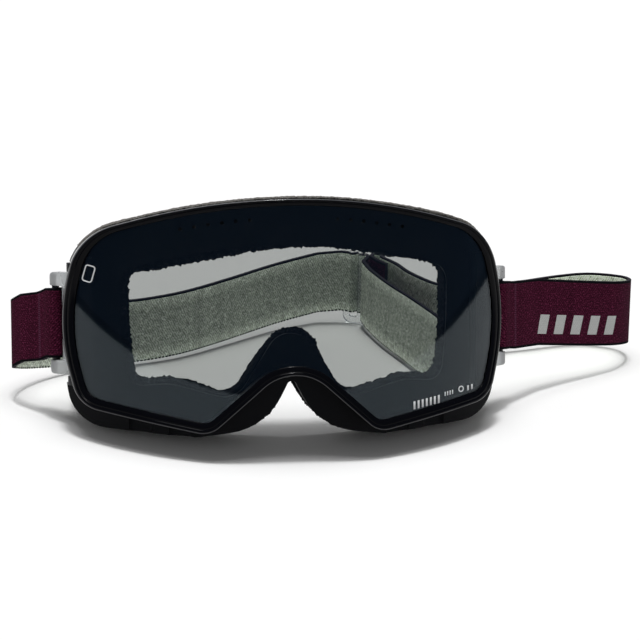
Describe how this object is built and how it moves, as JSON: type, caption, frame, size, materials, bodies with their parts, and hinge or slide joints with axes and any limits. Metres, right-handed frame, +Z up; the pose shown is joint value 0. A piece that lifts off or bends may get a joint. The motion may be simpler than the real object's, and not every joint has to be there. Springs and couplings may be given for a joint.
{
  "type": "motocross goggles",
  "caption": "Motocross goggles with a tinted lens in a gloss rim, layered face foam, hinged strap outriggers and a woven strap with a slider.",
  "frame": {"origin": "middle of the whole object seen from above, on the surface it stands on", "axes": "+X across the face towards the wearer's left, which is the right in the picture; +Y from the lens to the strap; +Z up"},
  "size_m": [0.2734, 0.1738, 0.1026],
  "materials": {
    "lens_tint": "smoke tint, gloss",
    "rim_gloss": "gloss black",
    "seal": "soft matte",
    "frame_soft": "soft-touch black",
    "mesh_foam": "open-cell foam",
    "foam": "open-cell foam",
    "fleece": "brushed fleece",
    "bracket": "moulded black",
    "pin": "satin",
    "outrigger": "translucent smoke",
    "rod": "black",
    "strap": "woven elastic, burgundy outside and pale grey-green inside",
    "slider": "clear"
  },
  "bodies": {
    "goggles": {"lens": "lens_tint", "lens_rim": "rim_gloss", "lens_seal": "seal", "frame": "frame_soft", "vent_foam_top": "mesh_foam", "vent_foam_left": "mesh_foam", "vent_foam_right": "mesh_foam", "face_foam_base": "foam", "face_foam_middle": "foam", "face_fleece": "fleece", "hinge_bracket_left": "bracket", "hinge_bracket_right": "bracket", "hinge_pin_left": "pin", "hinge_pin_right": "pin", "strap_left": "strap", "strap_right": "strap"},
    "outrigger_left": {"outrigger_left": "outrigger", "strap_rod_left": "rod"},
    "outrigger_right": {"outrigger_right": "outrigger", "strap_rod_right": "rod"},
    "slider": {"strap_slider": "slider"}
  },
  "joints": [
    {"name": "outrigger_left_hinge", "type": "hinge", "parent": "goggles", "child": "outrigger_left", "pos_m": [-0.11083, -0.0341, 0.04125], "axis": [0, -0.2419, -0.9703], "range_deg": [-8, 12], "deforming": ["strap_left"]},
    {"name": "outrigger_right_hinge", "type": "hinge", "parent": "goggles", "child": "outrigger_right", "pos_m": [0.05877, -0.0341, 0.04125], "axis": [0, 0.2419, 0.9703], "range_deg": [-8, 12], "deforming": ["strap_right"]},
    {"name": "slider_slide", "type": "slide", "parent": "goggles", "child": "slider", "axis": [0.9063, -0.4226, 0], "range_m": [-0.008, 0.008], "deforming": ["strap_left", "strap_right"]}
  ]
}
